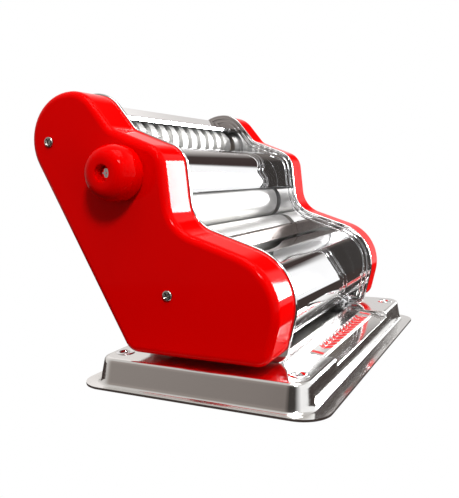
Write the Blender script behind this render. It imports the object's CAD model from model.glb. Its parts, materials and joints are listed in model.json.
import json
from math import acos, cos, pi, radians, sin, tan
import bmesh
import bpy
from mathutils import Matrix, Vector


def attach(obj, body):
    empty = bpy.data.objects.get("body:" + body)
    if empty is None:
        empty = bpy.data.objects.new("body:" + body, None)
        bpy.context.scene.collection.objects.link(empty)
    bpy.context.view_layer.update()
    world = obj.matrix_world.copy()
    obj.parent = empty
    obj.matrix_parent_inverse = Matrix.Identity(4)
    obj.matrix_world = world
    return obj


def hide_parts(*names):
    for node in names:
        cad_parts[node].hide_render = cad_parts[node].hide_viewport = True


mm = 0.001
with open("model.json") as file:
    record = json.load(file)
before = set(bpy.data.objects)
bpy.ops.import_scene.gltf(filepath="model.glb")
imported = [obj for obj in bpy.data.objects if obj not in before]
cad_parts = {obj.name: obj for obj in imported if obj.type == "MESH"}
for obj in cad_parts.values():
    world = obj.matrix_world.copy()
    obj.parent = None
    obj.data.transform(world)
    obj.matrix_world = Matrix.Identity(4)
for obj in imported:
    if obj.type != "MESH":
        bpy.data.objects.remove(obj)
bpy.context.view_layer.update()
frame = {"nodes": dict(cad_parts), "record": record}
nodes = frame["nodes"]
print("frame loaded:", len(nodes), "nodes")


def deselectAll():
    if bpy.context.object and bpy.context.object.mode == "EDIT":
        bpy.ops.object.mode_set(mode="OBJECT")
    bpy.ops.object.select_all(action="DESELECT")


def makeActive(obj):
    deselectAll()
    obj.select_set(True)
    bpy.context.view_layer.objects.active = obj


def nameNew(name):
    obj = bpy.context.object
    obj.name = name
    obj.data.name = name
    return obj


def joinPieces(made, name):
    deselectAll()
    for m in made:
        m.select_set(True)
    bpy.context.view_layer.objects.active = made[0]
    if len(made) > 1:
        bpy.ops.object.join()
    return nameNew(name)


def openEdit(obj, kind="FACE"):
    makeActive(obj)
    bpy.ops.object.mode_set(mode="EDIT")
    bpy.ops.mesh.select_mode(type=kind)


def closeEdit():
    bpy.ops.object.mode_set(mode="OBJECT")


def pick(obj, test, kind="FACE"):
    bpy.ops.mesh.select_mode(type=kind)
    bpy.ops.mesh.select_all(action="DESELECT")
    mesh = bmesh.from_edit_mesh(obj.data)
    items = {"VERT": mesh.verts, "EDGE": mesh.edges, "FACE": mesh.faces}[kind]
    for item in items:
        if test(item):
            item.select_set(True)
    mesh.select_flush_mode()
    bmesh.update_edit_mesh(obj.data)


def modify(obj, kind, **values):
    makeActive(obj)
    bpy.ops.object.modifier_add(type=kind)
    mod = obj.modifiers[-1]
    for key, value in values.items():
        setattr(mod, key, value)
    bpy.ops.object.modifier_apply(modifier=mod.name)


def shadeSmooth(obj, angle=35, weighted=True):
    makeActive(obj)
    bpy.ops.object.shade_smooth_by_angle(angle=radians(angle))
    if weighted:
        modify(obj, "WEIGHTED_NORMAL", keep_sharp=True, weight=80)


def faceOut(obj):
    openEdit(obj)
    bpy.ops.mesh.select_all(action="SELECT")
    bpy.ops.mesh.remove_doubles(threshold=0.000004)
    bpy.ops.mesh.normals_make_consistent(inside=False)
    closeEdit()


def place(obj):
    makeActive(obj)
    bpy.ops.object.transform_apply(location=True, rotation=True, scale=True)


def fitOut(obj, body, slot, material, *cadNodes):
    place(obj)
    obj.data.materials.clear()
    obj.data.materials.append(material)
    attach(obj, body)
    if cadNodes:
        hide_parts(*cadNodes)
    return obj


def newGroup(name, inputs, outputs):
    group = bpy.data.node_groups.new(name, "ShaderNodeTree")
    for label, kind, value in inputs:
        sock = group.interface.new_socket(name=label, in_out="INPUT", socket_type=kind)
        if value is not None:
            sock.default_value = value
    for label, kind in outputs:
        group.interface.new_socket(name=label, in_out="OUTPUT", socket_type=kind)
    inNode = group.nodes.new("NodeGroupInput")
    outNode = group.nodes.new("NodeGroupOutput")
    return group, inNode, outNode


def addNode(tree, kind, **values):
    node = tree.nodes.new(kind)
    for key, value in values.items():
        if key.startswith("in_"):
            node.inputs[key[3:].replace("_", " ")].default_value = value
        else:
            setattr(node, key, value)
    return node


def polishGroup():
    # faint wipe marks: a roughness value and a height
    group, gin, gout = newGroup("polishMarks",
        [("Scale", "NodeSocketFloat", 60.0), ("Low", "NodeSocketFloat", 0.04), ("High", "NodeSocketFloat", 0.1),
         ("Squash", "NodeSocketVector", (1.0, 1.0, 1.0))],
        [("Roughness", "NodeSocketFloat"), ("Height", "NodeSocketFloat")])
    coord = addNode(group, "ShaderNodeTexCoord")
    stretch = addNode(group, "ShaderNodeVectorMath", operation="MULTIPLY")
    group.links.new(coord.outputs["Object"], stretch.inputs[0])
    group.links.new(gin.outputs["Squash"], stretch.inputs[1])
    noise = addNode(group, "ShaderNodeTexNoise", in_Detail=4.0, in_Roughness=0.6)
    group.links.new(stretch.outputs[0], noise.inputs["Vector"])
    group.links.new(gin.outputs["Scale"], noise.inputs["Scale"])
    spread = addNode(group, "ShaderNodeMapRange")
    group.links.new(noise.outputs["Fac"], spread.inputs["Value"])
    spread.inputs["From Min"].default_value = 0.3
    spread.inputs["From Max"].default_value = 0.7
    group.links.new(gin.outputs["Low"], spread.inputs["To Min"])
    group.links.new(gin.outputs["High"], spread.inputs["To Max"])
    group.links.new(spread.outputs["Result"], gout.inputs["Roughness"])
    group.links.new(noise.outputs["Fac"], gout.inputs["Height"])
    return group


def toneGroup():
    # slow drift between two colours over the surface
    group, gin, gout = newGroup("toneDrift",
        [("Light", "NodeSocketColor", (1, 1, 1, 1)), ("Dark", "NodeSocketColor", (0.5, 0.5, 0.5, 1)),
         ("Scale", "NodeSocketFloat", 18.0)],
        [("Color", "NodeSocketColor")])
    coord = addNode(group, "ShaderNodeTexCoord")
    noise = addNode(group, "ShaderNodeTexNoise", in_Detail=3.0)
    group.links.new(coord.outputs["Object"], noise.inputs["Vector"])
    group.links.new(gin.outputs["Scale"], noise.inputs["Scale"])
    mix = addNode(group, "ShaderNodeMix", data_type="RGBA")
    group.links.new(noise.outputs["Fac"], mix.inputs["Factor"])
    group.links.new(gin.outputs["Dark"], mix.inputs[6])
    group.links.new(gin.outputs["Light"], mix.inputs[7])
    group.links.new(mix.outputs[2], gout.inputs["Color"])
    return group


polishMarks = polishGroup()
toneDrift = toneGroup()


def makeMaterial(look):
    mat = bpy.data.materials.new(look["name"])
    mat.use_nodes = True
    tree = mat.node_tree
    shader = tree.nodes["Principled BSDF"]
    shader.inputs["Metallic"].default_value = look.get("metal", 0.0)
    shader.inputs["IOR"].default_value = look.get("ior", 1.45)
    shader.inputs["Coat Weight"].default_value = look.get("coat", 0.0)
    shader.inputs["Coat Roughness"].default_value = look.get("coatRough", 0.03)
    shader.inputs["Specular IOR Level"].default_value = look.get("specular", 0.5)
    tone = addNode(tree, "ShaderNodeGroup", node_tree=toneDrift)
    tone.inputs["Light"].default_value = (*look["light"], 1)
    tone.inputs["Dark"].default_value = (*look["dark"], 1)
    tone.inputs["Scale"].default_value = look.get("toneScale", 18.0)
    tree.links.new(tone.outputs["Color"], shader.inputs["Base Color"])
    marks = addNode(tree, "ShaderNodeGroup", node_tree=polishMarks)
    marks.inputs["Scale"].default_value = look.get("markScale", 60.0)
    marks.inputs["Low"].default_value = look["rough"][0]
    marks.inputs["High"].default_value = look["rough"][1]
    marks.inputs["Squash"].default_value = look.get("squash", (1, 1, 1))
    tree.links.new(marks.outputs["Roughness"], shader.inputs["Roughness"])
    bump = addNode(tree, "ShaderNodeBump")
    bump.inputs["Strength"].default_value = look.get("bump", 0.05)
    bump.inputs["Distance"].default_value = look.get("bumpDepth", 0.0002)
    tree.links.new(marks.outputs["Height"], bump.inputs["Height"])
    tree.links.new(bump.outputs["Normal"], shader.inputs["Normal"])
    return mat


looks = {
    "enamel": {"name": "redEnamel", "light": (0.78, 0.0, 0.0), "dark": (0.70, 0.0, 0.0), "rough": (0.05, 0.09),
               "ior": 1.3, "specular": 0.1, "markScale": 240, "bump": 0.02, "bumpDepth": 0.00008},
    "chrome": {"name": "mirrorChrome", "light": (0.93, 0.93, 0.94), "dark": (0.88, 0.88, 0.89), "rough": (0.02, 0.06),
               "metal": 1.0, "markScale": 35, "bump": 0.01, "bumpDepth": 0.0001},
    "tray": {"name": "polishedTraySteel", "light": (0.90, 0.89, 0.88), "dark": (0.82, 0.81, 0.79), "rough": (0.08, 0.15),
             "metal": 1.0, "markScale": 90, "squash": (1, 8, 8), "bump": 0.02, "bumpDepth": 0.0001},
    "roller": {"name": "groundRollerSteel", "light": (0.64, 0.635, 0.625), "dark": (0.56, 0.555, 0.545),
               "rough": (0.40, 0.52),
               "metal": 1.0, "markScale": 120, "squash": (12, 1, 1), "bump": 0.03, "bumpDepth": 0.0001},
    "steel": {"name": "plainSteel", "light": (0.62, 0.62, 0.63), "dark": (0.45, 0.45, 0.46), "rough": (0.22, 0.38),
              "metal": 1.0, "markScale": 150, "bump": 0.05, "bumpDepth": 0.0001},
    "bronze": {"name": "bushBronze", "light": (0.60, 0.42, 0.20), "dark": (0.45, 0.30, 0.14), "rough": (0.3, 0.45),
               "metal": 1.0, "markScale": 200, "bump": 0.06, "bumpDepth": 0.0001},
    "rubber": {"name": "footRubber", "light": (0.035, 0.035, 0.036), "dark": (0.02, 0.02, 0.02), "rough": (0.6, 0.8),
               "markScale": 300, "bump": 0.15, "bumpDepth": 0.0001},
    "screw": {"name": "nickelScrew", "light": (0.55, 0.53, 0.50), "dark": (0.36, 0.34, 0.32), "rough": (0.16, 0.3),
              "metal": 1.0, "markScale": 300, "bump": 0.05, "bumpDepth": 0.00005},
    "blade": {"name": "oiledBladeSteel", "light": (0.16, 0.13, 0.115), "dark": (0.07, 0.055, 0.05), "rough": (0.25, 0.45),
              "metal": 0.6, "markScale": 90, "squash": (1, 6, 6), "toneScale": 60, "bump": 0.05, "bumpDepth": 0.0001},
    "badge": {"name": "badgeRed", "light": (0.72, 0.02, 0.02), "dark": (0.60, 0.01, 0.01), "rough": (0.2, 0.3),
              "coat": 0.4, "markScale": 200, "bump": 0.03},
}
material = {key: makeMaterial(look) for key, look in looks.items()}
slotOf = {"chromed_steel": "chrome", "stainless_steel": "tray", "plain_steel": "steel", "roller_metal": "roller",
          "bush_bronze": "bronze", "black_rubber": "rubber", "red_enamel": "enamel", "badge_red": "badge"}
for part in frame["record"]["subparts"]:
    mesh = nodes[part["node"]].data
    mesh.materials.clear()
    mesh.materials.append(material[slotOf[part["material_slot"]]])
print("materials:", len(material))


def corner(c, i):
    q = Vector(c[i][:2])
    a = (q - Vector(c[i - 1][:2])).normalized()
    b = (Vector(c[(i + 1) % len(c)][:2]) - q).normalized()
    side = 1 if a.x * b.y - a.y * b.x > 0 else -1
    bend = acos(max(-1, min(1, a.dot(b))))
    return q, a, b, side, bend


def inset(c, d):
    out = []
    for i in range(len(c)):
        q, a, b, side, bend = corner(c, i)
        na, nb = Vector((-a.y, a.x)), Vector((-b.y, b.x))
        p = q + d * (na + nb) / (1 + na.dot(nb))
        out.append((p.x, p.y, max(c[i][2] - side * d, 0.3)))
    return out


def roundedPoints(c, runs):
    # every corner gives the same number of points, so outlines of one family can be bridged
    points = []
    for i in range(len(c)):
        q, a, b, side, bend = corner(c, i)
        t = c[i][2] * tan(bend / 2)
        first = q - a * t
        centre = first + Vector((-a.y, a.x)) * c[i][2] * side
        start = first - centre
        for k in range(runs + 1):
            w = side * bend * k / runs
            points.append(centre + Vector((start.x * cos(w) - start.y * sin(w), start.x * sin(w) + start.y * cos(w))))
    return points


def outlineFace(name, points, at, across="X"):
    # a filled ring whose corners are moved onto the outline
    deselectAll()
    bpy.ops.mesh.primitive_circle_add(vertices=len(points), radius=0.05, fill_type="NGON")
    obj = nameNew(name)
    for v, p in zip(obj.data.vertices, points):
        v.co = (at * mm, p.x * mm, p.y * mm) if across == "X" else (p.x * mm, p.y * mm, at * mm)
    return obj


sidePlate = {
    "corners": [(41.6, 16.5, 3), (122.5, 158.5, 27), (66, 158.5, 20), (49.3, 138, 8), (18.4, 126.2, 14),
                (14.1, 87.3, 18), (-49.2, 66.4, 31), (-37.6, 16.5, 6)],
    "inner": 80, "outer": 82, "edgeRound": 0.7,
    "bushHoles": [(28.3, 68.2, 7), (78, 134, 7), (70, 109.5, 7), (8, 47.5, 7), (-12.8, 35, 7), (43, 114, 5)],
    "slot": (42.6, 93.9, 9.3)}
sideCover = {
    "footCorners": {0: (42.8, 18.5, 10), 7: (-38.1, 18.5, 10)},
    "proud": 1.0, "outer": 106, "wall": 1.4, "edgeRound": 4.2, "sockets": [(28.3, 68.2), (70, 109.5), (8, 47.5)],
    "knob": (43, 114)}


def cutRods(obj, rods, x0, x1):
    # rods are (y, z, radius); all are cut in one boolean
    deselectAll()
    made = []
    for y, z, r in rods:
        bpy.ops.mesh.primitive_cylinder_add(vertices=48, radius=r * mm, depth=abs(x1 - x0) * mm,
            location=((x0 + x1) / 2 * mm, y * mm, z * mm), rotation=(0, pi / 2, 0))
        made.append(bpy.context.object)
    cutter = joinPieces(made, "cutter")
    modify(obj, "BOOLEAN", operation="DIFFERENCE", object=cutter, solver="EXACT")
    bpy.data.objects.remove(cutter)


def buildPlate(side):
    p = sidePlate
    obj = outlineFace("sidePlate" + side, roundedPoints(p["corners"], 16), p["inner"])
    openEdit(obj)
    bpy.ops.mesh.select_all(action="SELECT")
    bpy.ops.mesh.extrude_region_move(TRANSFORM_OT_translate={"value": ((p["outer"] - p["inner"]) * mm, 0, 0)})
    closeEdit()
    faceOut(obj)
    cutRods(obj, p["bushHoles"] + [p["slot"]], p["inner"] - 3, p["outer"] + 3)
    modify(obj, "BEVEL", width=p["edgeRound"] * mm, segments=4, limit_method="ANGLE", angle_limit=radians(50))
    if side == "Left":
        mirrorX(obj)
    shadeSmooth(obj)
    return obj


def mirrorX(obj):
    openEdit(obj)
    bpy.ops.mesh.select_all(action="SELECT")
    bpy.ops.transform.resize(value=(-1, 1, 1), center_override=(0, 0, 0))
    bpy.ops.mesh.flip_normals()
    closeEdit()


def coverCorners():
    c = list(sidePlate["corners"])
    for i, v in sideCover["footCorners"].items():
        c[i] = v
    return inset(c, sideCover["proud"])


def buildCover(side):
    p = sideCover
    inner = sidePlate["outer"]
    obj = outlineFace("cover" + side, roundedPoints(coverCorners(), 18), inner)
    openEdit(obj)
    bpy.ops.mesh.select_all(action="SELECT")
    bpy.ops.mesh.extrude_region_move(TRANSFORM_OT_translate={"value": ((p["outer"] - inner) * mm, 0, 0)})
    closeEdit()
    faceOut(obj)
    openEdit(obj)
    pick(obj, lambda e: all(v.co.x > (p["outer"] - 0.01) * mm for v in e.verts), "EDGE")
    bpy.ops.mesh.bevel(offset=p["edgeRound"] * mm, segments=10, profile=0.5, clamp_overlap=True)
    pick(obj, lambda f: f.normal.x < -0.9)
    bpy.ops.mesh.delete(type="FACE")
    closeEdit()
    modify(obj, "SOLIDIFY", thickness=p["wall"] * mm, offset=-1)
    if side == "Right":
        cutRods(obj, [(y, z, 5.9) for y, z in p["sockets"]], p["outer"] - 6, p["outer"] + 4)
    else:
        mirrorX(obj)
        cutRods(obj, [(*p["knob"], 4)], -p["outer"] + 6, -p["outer"] - 4)
    shadeSmooth(obj, 40)
    return obj


plateBeads = {"insets": (2.6, 5.4), "half": 0.8, "proud": 0.3}


def buildBeads(side):
    # pressed beads that follow the plate's edge on its inner face
    p = plateBeads
    face = sidePlate["inner"]
    made = []
    for d in p["insets"]:
        rings = [(d - p["half"], 0), (d, -p["proud"]), (d + p["half"], 0), (d, 0.2)]
        points = [roundedPoints(inset(sidePlate["corners"], a), 12) for a, b in rings]
        deselectAll()
        bpy.ops.mesh.primitive_circle_add(vertices=len(points[0]), radius=0.05, fill_type="NOTHING")
        obj = nameNew("bead")
        for v, q in zip(obj.data.vertices, points[0]):
            v.co = (face * mm, q.x * mm, q.y * mm)
        order = list(range(len(points[0])))
        spots = [v.co.copy() for v in obj.data.vertices]
        for k in (1, 2, 3, 0):
            openEdit(obj, "VERT")
            pick(obj, lambda v: any((v.co - c).length < 1e-7 for c in spots), "VERT")
            bpy.ops.mesh.extrude_edges_move(TRANSFORM_OT_translate={"value": (0.003, 0, 0)})
            closeEdit()
            fresh = [v for v in obj.data.vertices if v.select]
            lifted = [c + Vector((0.003, 0, 0)) for c in spots]
            goal = [Vector(((face + rings[k][1]) * mm, q.x * mm, q.y * mm)) for q in points[k]]
            for v in fresh:
                n = min(order, key=lambda m: (lifted[m] - v.co).length)
                v.co = goal[n]
            spots = goal
        faceOut(obj)
        made.append(obj)
    obj = joinPieces(made, "plateBeads" + side)
    if side == "Left":
        mirrorX(obj)
    shadeSmooth(obj, 60)
    return obj


for side in ("Left", "Right"):
    fitOut(buildBeads(side), "frame", "chromed_steel", material["chrome"])
    fitOut(buildPlate(side), "frame", "chromed_steel", material["chrome"], side.lower() + "_side_plate")
    fitOut(buildCover(side), "frame", "red_enamel", material["enamel"], side.lower() + "_cover")
print("side plates and covers done")


def bendSheet(name, spec):
    # a strip is drawn out along its profile: ("flat", length) or ("bend", radius, degrees), as on a folding bench
    (y, z), heading = spec["start"], spec["heading"]
    half = spec["half"]
    deselectAll()
    first = spec["steps"][0][1]
    hd = radians(heading)
    bpy.ops.mesh.primitive_plane_add(size=1)
    obj = nameNew(name)
    q = (y + first * cos(hd), z + first * sin(hd))
    for v in obj.data.vertices:
        x = half if v.co.x > 0 else -half
        py, pz = q if v.co.y > 0 else (y, z)
        v.co = (x * mm, py * mm, pz * mm)
    y, z = q
    openEdit(obj, "EDGE")
    for step in spec["steps"][1:]:
        here = Vector((0, y * mm, z * mm))
        pick(obj, lambda e: all((Vector((0, v.co.y, v.co.z)) - here).length < 0.00002 for v in e.verts), "EDGE")
        if step[0] == "flat":
            d = (step[1] * cos(hd), step[1] * sin(hd))
            bpy.ops.mesh.extrude_edges_move(TRANSFORM_OT_translate={"value": (0, d[0] * mm, d[1] * mm)})
            y, z = y + d[0], z + d[1]
        else:
            radius, turn = step[1], radians(step[2])
            way = 1 if turn > 0 else -1
            cy, cz = y - sin(hd) * radius * way, z + cos(hd) * radius * way
            count = max(2, round(abs(step[2]) / 4))
            for k in range(count):
                w = turn / count
                ny = cy + (y - cy) * cos(w) - (z - cz) * sin(w)
                nz = cz + (y - cy) * sin(w) + (z - cz) * cos(w)
                bpy.ops.mesh.extrude_edges_move(TRANSFORM_OT_translate={"value": (0, (ny - y) * mm, (nz - z) * mm)})
                y, z = ny, nz
            hd += turn
    closeEdit()
    return obj


def thicken(obj, thickness, offset):
    modify(obj, "SOLIDIFY", thickness=thickness * mm, offset=offset)
    modify(obj, "BEVEL", width=0.2 * mm, segments=2, limit_method="ANGLE", angle_limit=radians(60))
    shadeSmooth(obj, 35)


def arcPoint(centre, r, deg):
    return (centre[0] + r * cos(radians(deg)), centre[1] + r * sin(radians(deg)))


middleGuard = {"half": 79.9, "start": (57.6, 129.7), "heading": 180,
               "steps": [("flat", 3.7), ("bend", 24.4, 97)], "thickness": 0.8}
topGuard = {"half": 79.9, "start": (101.4, 133.4), "heading": 94, "thickness": 0.8,
            "steps": [("flat", 0.1), ("bend", 25.6, 59), ("bend", 2.4, 48), ("flat", 19.5), ("bend", 1.0, 62),
                      ("flat", 1.8)]}
lowerGuard = {"half": 79.9, "start": arcPoint((0.5, 36.8), 30.3, 212), "heading": 122, "thickness": 0.8,
              "steps": [("flat", 0.1), ("bend", 30.3, -76), ("bend", 9, -37), ("flat", 28)],
              "scoop": 12.8, "scoopHalf": 66, "scoopShare": 0.85, "rear": 14.2, "cuts": 39, "shelfSlope": 9}


def buildGuard(name, spec):
    obj = bendSheet(name, spec)
    thicken(obj, spec["thickness"], spec.get("side", 1))
    return obj


def buildLowerGuard():
    spec = lowerGuard
    obj = bendSheet("lowerGuardSheet", spec)
    openEdit(obj, "EDGE")
    pick(obj, lambda e: abs(e.verts[0].co.x - e.verts[1].co.x) > 0.1, "EDGE")
    bpy.ops.mesh.subdivide(number_cuts=spec["cuts"])
    rear = max(v.co.y for v in bmesh.from_edit_mesh(obj.data).verts)
    columns = sorted({round(v.co.x, 6) for v in bmesh.from_edit_mesh(obj.data).verts if v.co.y > rear - 0.0001})
    slope = radians(spec["shelfSlope"])
    for x in columns:
        reach = min(abs(x) / mm, spec["scoopHalf"]) / spec["scoopHalf"]
        y = spec["rear"] - spec["scoop"] * (0.5 + 0.5 * cos(pi * reach)) * spec["scoopShare"]
        pick(obj, lambda v: abs(v.co.x - x) < 0.0001 and v.co.y > rear - 0.0001, "VERT")
        d = y * mm - rear
        bpy.ops.transform.translate(value=(0, d, d * tan(slope)))
    closeEdit()
    thicken(obj, spec["thickness"], 1)
    return obj


fitOut(buildGuard("middleGuardSheet", middleGuard), "frame", "chromed_steel", material["chrome"], "middle_guard")
fitOut(buildGuard("topGuardSheet", topGuard), "frame", "chromed_steel", material["chrome"], "top_guard")
fitOut(buildLowerGuard(), "frame", "chromed_steel", material["chrome"], "lower_guard")
frontScraper = {"half": 79.6, "start": (13.1, 67.0), "heading": 75, "thickness": 0.7,
                "steps": [("flat", 7.2), ("bend", 1.5, -50), ("flat", 0.8)]}
fitOut(buildGuard("frontScraper", frontScraper), "frame", "stainless_steel", material["blade"])
print("guards done")


tray = {"flange": (236, 137, 15), "flangeTop": 2.7, "edgeRound": 0.5, "sheet": 1.2,
        "wall": [(231.6, 124.6, 13.8, 2.7), (229.2, 122.4, 12.6, 3.1), (227.6, 121, 11.9, 4.1), (226.4, 120, 11.4, 5.8),
                 (222.6, 117.4, 10, 13.6), (221.8, 116.8, 9.6, 14.9), (220.6, 115.6, 9.0, 15.9), (218.8, 113.8, 8.2, 16.4),
                 (217, 112, 7.4, 16.5)],
        "recessHalf": 61, "wedgeFront": (-72, 10.6), "wedgeRear": (-36, 16.5), "wedgeTop": 22,
        "holes": [(97, 50), (97, -50), (-97, 50), (-97, -50)], "holeRadius": 3.6}


def trayOutline(length, width, r):
    return roundedPoints([(-length / 2, -width / 2, r), (length / 2, -width / 2, r), (length / 2, width / 2, r),
                          (-length / 2, width / 2, r)], 12)


def buildTray():
    p = tray
    last = trayOutline(*p["flange"])
    obj = outlineFace("trayPan", last, p["flangeTop"] - p["sheet"], "Z")
    rings = [(*p["flange"], p["flangeTop"])] + p["wall"]
    for l, w, r, z in rings:
        top = max(v.co.z for v in obj.data.vertices)
        openEdit(obj)
        pick(obj, lambda f: len(f.verts) > 4 and all(v.co.z > top - 1e-6 for v in f.verts))
        bpy.ops.mesh.extrude_region_move(TRANSFORM_OT_translate={"value": (0, 0, 0.00005)})
        closeEdit()
        outline = trayOutline(l, w, r)
        for v in [v for v in obj.data.vertices if v.select]:
            spot = v.co.xy / mm
            i = min(range(len(last)), key=lambda k: (last[k] - spot).length)
            v.co = (outline[i].x * mm, outline[i].y * mm, z * mm)
        last = outline
    faceOut(obj)
    # the recess is a wedge cut out of the front, with the foot holes
    h = p["recessHalf"]
    deselectAll()
    bpy.ops.mesh.primitive_cube_add(size=1)
    wedge = bpy.context.object
    low = {True: p["wedgeFront"], False: p["wedgeRear"]}
    for v in wedge.data.vertices:
        front = v.co.y < 0
        y, z = low[front] if v.co.z < 0 else (low[front][0], p["wedgeTop"])
        v.co = (h * mm * (1 if v.co.x > 0 else -1), y * mm, z * mm)
    made = [wedge]
    for x, y in p["holes"]:
        bpy.ops.mesh.primitive_cylinder_add(vertices=40, radius=p["holeRadius"] * mm, depth=60 * mm,
                                            location=(x * mm, y * mm, 10 * mm))
        made.append(bpy.context.object)
    wedge = joinPieces(made, "wedge")
    modify(obj, "BOOLEAN", operation="DIFFERENCE", object=wedge, solver="EXACT")
    bpy.data.objects.remove(wedge)
    openEdit(obj)
    bore = p["holeRadius"] * mm + 0.0001
    pick(obj, lambda f: f.normal.z < -0.9 or any(all((v.co.xy - Vector((x, y)) * mm).length < bore for v in f.verts)
                                                for x, y in p["holes"])
         or (abs(f.normal.z) < 0.1 and all(v.co.z < (p["flangeTop"] + 0.01) * mm for v in f.verts)))
    bpy.ops.mesh.delete(type="FACE")
    closeEdit()
    modify(obj, "BEVEL", width=1.1 * mm, segments=4, limit_method="ANGLE", angle_limit=radians(24))
    modify(obj, "SOLIDIFY", thickness=p["sheet"] * mm, offset=-1)
    shadeSmooth(obj, 40)
    return obj


fitOut(buildTray(), "frame", "stainless_steel", material["tray"], "base_tray")
print("tray done")


def turnPiece(name, profile, centre, axis, around=64):
    # profile is (radius, height) along the axis; a ring is drawn out step by step as on a lathe
    deselectAll()
    r, h = profile[0]
    bpy.ops.mesh.primitive_circle_add(vertices=around, radius=r * mm, location=(0, 0, h * mm))
    obj = nameNew(name)
    place(obj)
    openEdit(obj, "VERT")
    bpy.ops.mesh.select_all(action="SELECT")
    for nr, nh in profile[1:]:
        bpy.ops.mesh.extrude_edges_move(TRANSFORM_OT_translate={"value": (0, 0, (nh - h) * mm)})
        if nr > 0:
            bpy.ops.transform.resize(value=(nr / r, nr / r, 1), center_override=(0, 0, nh * mm))
            r, h = nr, nh
        else:
            bpy.ops.mesh.merge(type="CENTER")
    closeEdit()
    faceOut(obj)
    obj.rotation_mode = "QUATERNION"
    obj.rotation_quaternion = Vector(axis).to_track_quat("Z", "Y")
    obj.location = [c * mm for c in centre]
    place(obj)
    shadeSmooth(obj, 35)
    return obj


knob = {"centre": (-107.2, 43, 114), "profile":
        [(3.2, 3.2), (3.2, 0), (13.6, 0), (14.3, 0.3), (14.5, 1.0), (14.5, 6.5), (14.3, 8.6), (13.8, 10.6), (12.9, 12.4),
         (11.7, 13.9), (10.3, 15.0), (8.8, 15.7), (7.2, 16.0), (4.9, 16.0), (4.3, 15.7), (4.1, 15.1), (4.1, 3.3), (3.2, 3.2)]}
fitOut(turnPiece("knobBody", knob["profile"], knob["centre"], (-1, 0, 0)), "knob", "red_enamel", material["enamel"],
       "thickness_knob")
print("knob done")


screwHead = {"profile": [(0.3, 0.02), (0.3, 0), (1.0, 0), (1.0, 0.45), (0.96, 0.62), (0.86, 0.8), (0.7, 0.92),
                         (0.45, 0.99),
                         (0, 1.0)], "slotWide": 0.2, "slotLong": 0.62, "slotDeep": 0.62}


def buildScrew(name, at, axis, radius, height):
    # domed head with a cross recess
    p = screwHead
    profile = [(r * radius, h * height) for r, h in p["profile"]]
    obj = turnPiece(name, profile, (0, 0, 0), (0, 0, 1), 40)
    for turn in (35, 125):
        deselectAll()
        bpy.ops.mesh.primitive_cube_add(size=1, location=(0, 0, height * (1.5 - p["slotDeep"]) * mm),
                                        rotation=(0, 0, radians(turn)))
        cutter = bpy.context.object
        cutter.scale = (2 * p["slotLong"] * radius * mm, p["slotWide"] * radius * 2 * mm, height * mm)
        place(cutter)
        modify(obj, "BOOLEAN", operation="DIFFERENCE", object=cutter, solver="EXACT")
        bpy.data.objects.remove(cutter)
    obj.rotation_mode = "QUATERNION"
    obj.rotation_quaternion = Vector(axis).to_track_quat("Z", "Y")
    obj.location = [c * mm for c in at]
    place(obj)
    shadeSmooth(obj, 40)
    return obj


coverFace = sideCover["outer"]
coverScrews = {"radius": 2.8, "height": 1.5, "left": [(89, 131), (17, 52)], "right": [(60, 142), (34, 36)]}
heads = [buildScrew("screw", (-coverFace, y, z), (-1, 0, 0), coverScrews["radius"], coverScrews["height"])
         for y, z in coverScrews["left"]]
heads += [buildScrew("screw", (coverFace, y, z), (1, 0, 0), coverScrews["radius"], coverScrews["height"])
          for y, z in coverScrews["right"]]
fitOut(joinPieces(heads, "coverScrewHeads"), "frame", "chromed_steel", material["screw"], "cover_screws")

eyelet = {"places": tray["holes"],
          "profile": [(2.6, 13.2), (3.5, 13.2), (3.5, 16.45), (5.2, 16.5), (5.25, 16.7), (5.0, 16.95),
                                              (4.5, 17.1), (3.9, 17.08), (3.3, 16.85), (2.8, 16.3), (2.6, 15.4),
                                              (2.6, 13.2)]}
rings = [turnPiece("eyelet", eyelet["profile"], (x, y, 0), (0, 0, 1), 48) for x, y in eyelet["places"]]
fitOut(joinPieces(rings, "trayEyelets"), "frame", "stainless_steel", material["chrome"], "tray_eyelets")

emblem = {"centre": (0, -45.56, 15.2), "tilt": 7.73, "size": (112, 8.5, 0.7), "corner": 1.2,
          "grains": 12, "grainStep": 7.2, "grain": (4.6, 1.5, 0.55), "lean": 30, "stem": (90, 0.6),
          "endBar": (53, 2.6, 7)}


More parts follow.
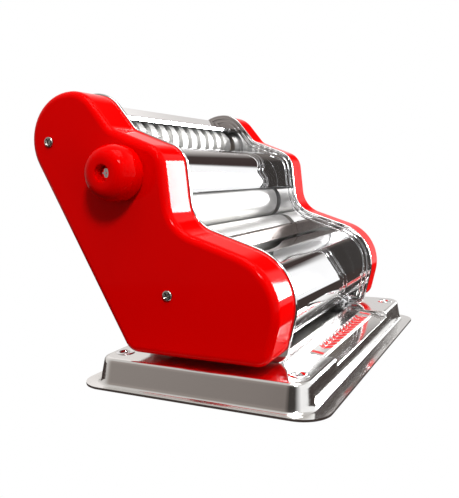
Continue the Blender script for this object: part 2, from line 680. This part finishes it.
def buildEmblem():
    # a plain plate with a raised ear of wheat
    p = emblem
    l, w, t = p["size"]
    r = p["corner"]
    plate = outlineFace("emblemPlate", roundedPoints([(-l / 2, -w / 2, r), (l / 2, -w / 2, r), (l / 2, w / 2, r),
                                                      (-l / 2, w / 2, r)], 8), 0, "Z")
    openEdit(plate)
    bpy.ops.mesh.select_all(action="SELECT")
    bpy.ops.mesh.extrude_region_move(TRANSFORM_OT_translate={"value": (0, 0, t * mm)})
    closeEdit()
    faceOut(plate)
    openEdit(plate)
    pick(plate, lambda f: f.normal.z > 0.9 and len(f.verts) > 4)
    bpy.ops.mesh.inset(thickness=0.7 * mm)
    bpy.ops.transform.translate(value=(0, 0, -0.25 * mm))
    closeEdit()
    modify(plate, "BEVEL", width=0.15 * mm, segments=2, limit_method="ANGLE", angle_limit=radians(40))
    shadeSmooth(plate, 40)
    made = []
    top = t - 0.25
    for k in range(p["grains"]):
        for side in (-1, 1):
            deselectAll()
            bpy.ops.mesh.primitive_uv_sphere_add(segments=20, ring_count=10, radius=1 * mm)
            g = bpy.context.object
            g.scale = p["grain"]
            place(g)
            g.rotation_euler = (0, 0, radians(p["lean"] * side))
            g.location = ((-p["grains"] / 2 + k + 0.5) * p["grainStep"] * mm, side * 1.7 * mm, top * mm)
            place(g)
            made.append(g)
    ends = p["endBar"]
    for x, length, width in ((0, *p["stem"]), ends, (-ends[0], *ends[1:])):
        deselectAll()
        bpy.ops.mesh.primitive_cube_add(size=1, location=(x * mm, 0, (top + 0.12) * mm))
        bar = bpy.context.object
        bar.scale = (length * mm, width * mm, 0.5 * mm)
        place(bar)
        modify(bar, "BEVEL", width=0.15 * mm, segments=2)
        made.append(bar)
    motif = joinPieces(made, "emblemWheat")
    shadeSmooth(motif, 50)
    for obj in (plate, motif):
        obj.rotation_euler = (radians(p["tilt"]), 0, 0)
        obj.location = [c * mm for c in p["centre"]]
    return plate, motif


plate, motif = buildEmblem()
fitOut(plate, "frame", "stainless_steel", material["roller"])
fitOut(motif, "frame", "badge_red", material["badge"], "badge_plate")
print("screws, eyelets and emblem done")


room = {
    # brightness round the machine by compass angle, 0 on the right and -90 in front
    "round": [(-180, (0.05, 0.045, 0.042)), (-150, (0.05, 0.045, 0.042)), (-120, (1.0, 1.0, 1.0)),
              (-14, (1.05, 1.05, 1.05)),
              (-11, (0.050, 0.034, 0.032)), (4, (0.060, 0.045, 0.042)), (15, (0.46, 0.43, 0.41)), (30, (1.0, 0.96, 0.94)),
              (100, (0.66, 0.64, 0.62)), (135, (0.34, 0.30, 0.28)), (158, (0.28, 0.245, 0.225)), (180, (0.07, 0.06, 0.055))],
    "low": [(-180, (0.05, 0.045, 0.042)), (-150, (0.05, 0.045, 0.042)), (-120, (1.0, 1.0, 1.0)),
              (-14, (1.05, 1.05, 1.05)),
            (-8, (0.85, 0.84, 0.83)), (12, (0.74, 0.72, 0.71)), (30, (0.70, 0.67, 0.65)), (100, (0.66, 0.64, 0.62)),
            (135, (0.30, 0.27, 0.25)), (158, (0.24, 0.21, 0.195)), (180, (0.07, 0.06, 0.055))],
    "lowTo": (0.24, 0.33), "table": (0.055, 0.042, 0.038), "tableEdge": (0.40, 0.46),
    "ceiling": (0.62, 0.60, 0.58), "ceilingFrom": 0.55, "ceilingTo": 0.85}


def roomColour(tree, vector, stops):
    # the same surround for the sweep and for what the metal mirrors on the floor
    split = addNode(tree, "ShaderNodeSeparateXYZ")
    tree.links.new(vector, split.inputs[0])
    turn = addNode(tree, "ShaderNodeMath", operation="ARCTAN2")
    tree.links.new(split.outputs["Y"], turn.inputs[0])
    tree.links.new(split.outputs["X"], turn.inputs[1])
    spread = addNode(tree, "ShaderNodeMapRange")
    spread.inputs["From Min"].default_value = -pi
    spread.inputs["From Max"].default_value = pi
    tree.links.new(turn.outputs[0], spread.inputs["Value"])
    ramp = addNode(tree, "ShaderNodeValToRGB")
    while len(ramp.color_ramp.elements) < len(stops):
        ramp.color_ramp.elements.new(0.5)
    for element, (angle, colour) in zip(ramp.color_ramp.elements, stops):
        element.position = (angle + 180) / 360
        element.color = (*colour, 1)
    tree.links.new(spread.outputs["Result"], ramp.inputs["Fac"])
    return split, ramp.outputs["Color"]


def whiteToCamera(tree, colour):
    path = addNode(tree, "ShaderNodeLightPath")
    seen = addNode(tree, "ShaderNodeMix", data_type="RGBA")
    tree.links.new(path.outputs["Is Camera Ray"], seen.inputs["Factor"])
    tree.links.new(colour, seen.inputs[6])
    seen.inputs[7].default_value = (1, 1, 1, 1)
    return seen.outputs[2]


def buildFloor():
    deselectAll()
    bpy.ops.mesh.primitive_plane_add(size=6, location=(0, 0, -0.0004))
    floor = nameNew("studioFloor")
    mat = bpy.data.materials.new("paleFloor")
    mat.use_nodes = True
    tree = mat.node_tree
    tree.nodes.remove(tree.nodes["Principled BSDF"])
    coord = addNode(tree, "ShaderNodeTexCoord")
    split, colour = roomColour(tree, coord.outputs["Object"], room["round"])
    # a darker table top round the machine, seen only in the metal
    reach = addNode(tree, "ShaderNodeVectorMath", operation="LENGTH")
    tree.links.new(coord.outputs["Object"], reach.inputs[0])
    edge = addNode(tree, "ShaderNodeMapRange", interpolation_type="SMOOTHSTEP")
    edge.inputs["From Min"].default_value, edge.inputs["From Max"].default_value = room["tableEdge"]
    tree.links.new(reach.outputs["Value"], edge.inputs["Value"])
    table = addNode(tree, "ShaderNodeMix", data_type="RGBA")
    tree.links.new(edge.outputs["Result"], table.inputs["Factor"])
    table.inputs[6].default_value = (*room["table"], 1)
    tree.links.new(colour, table.inputs[7])
    colour = table.outputs[2]
    glow = addNode(tree, "ShaderNodeEmission")
    tree.links.new(whiteToCamera(tree, colour), glow.inputs["Color"])
    tree.links.new(glow.outputs[0], tree.nodes["Material Output"].inputs["Surface"])
    floor.data.materials.append(mat)


def buildWorld():
    world = bpy.data.worlds.new("studio")
    bpy.context.scene.world = world
    world.use_nodes = True
    tree = world.node_tree
    coord = addNode(tree, "ShaderNodeTexCoord")
    split, high = roomColour(tree, coord.outputs["Generated"], room["round"])
    low = roomColour(tree, coord.outputs["Generated"], room["low"])[1]
    lift = addNode(tree, "ShaderNodeMapRange", interpolation_type="SMOOTHSTEP")
    lift.inputs["From Min"].default_value, lift.inputs["From Max"].default_value = room["lowTo"]
    tree.links.new(split.outputs["Z"], lift.inputs["Value"])
    walls = addNode(tree, "ShaderNodeMix", data_type="RGBA")
    tree.links.new(lift.outputs["Result"], walls.inputs["Factor"])
    tree.links.new(low, walls.inputs[6])
    tree.links.new(high, walls.inputs[7])
    colour = walls.outputs[2]
    height = addNode(tree, "ShaderNodeMapRange", interpolation_type="SMOOTHSTEP")
    height.inputs["From Min"].default_value = room["ceilingFrom"]
    height.inputs["From Max"].default_value = room["ceilingTo"]
    tree.links.new(split.outputs["Z"], height.inputs["Value"])
    both = addNode(tree, "ShaderNodeMix", data_type="RGBA")
    tree.links.new(height.outputs["Result"], both.inputs["Factor"])
    tree.links.new(colour, both.inputs[6])
    both.inputs[7].default_value = (*room["ceiling"], 1)
    tree.links.new(whiteToCamera(tree, both.outputs[2]), tree.nodes["Background"].inputs["Color"])


def addSoftbox(name, at, aim, size, power, colour=(1, 1, 1)):
    deselectAll()
    bpy.ops.object.light_add(type="AREA", location=at)
    light = bpy.context.object
    light.name = name
    light.data.shape = "RECTANGLE"
    light.data.size, light.data.size_y = size
    light.data.energy = power
    light.data.color = colour
    light.rotation_mode = "QUATERNION"
    light.rotation_quaternion = (Vector(at) - Vector(aim)).to_track_quat("Z", "Y")
    return light


softboxes = [
    # name, place, aim, (width, height), power
    ("windowRight", (3.3, -1.75, 0.62), (0, 0, 0.1), (0.85, 1.3), 190),
    ("topSoft", (-0.2, -0.3, 1.6), (0, 0, 0.1), (0.9, 0.9), 9),
    ("leftSoft", (-1.3, -0.9, 1.3), (0, 0, 0.1), (0.32, 0.32), 24),
]
buildFloor()
buildWorld()
for box in softboxes:
    addSoftbox(*box)

view = {"place": (-0.38213, -0.14958, 0.11338), "yaw": 64.531, "pitch": -6.741, "roll": -0.624, "lens": 46.503}


def buildCamera():
    yaw, pitch, roll = (radians(view[k]) for k in ("yaw", "pitch", "roll"))
    d = Vector((sin(yaw) * cos(pitch), cos(yaw) * cos(pitch), sin(pitch)))
    right = Vector((cos(yaw), -sin(yaw), 0))
    up = right.cross(d)
    right2 = cos(roll) * right + sin(roll) * up
    up2 = -sin(roll) * right + cos(roll) * up
    cam = bpy.data.cameras.new("camera")
    cam.lens = view["lens"]
    cam.sensor_width = 36
    cam.clip_start = 0.01
    obj = bpy.data.objects.new("camera", cam)
    bpy.context.scene.collection.objects.link(obj)
    turn = Matrix((right2, up2, -d)).transposed().to_4x4()
    obj.matrix_world = Matrix.Translation(Vector(view["place"])) @ turn
    bpy.context.scene.camera = obj


buildCamera()
bpy.context.scene.view_settings.view_transform = "Standard"
print("studio done")
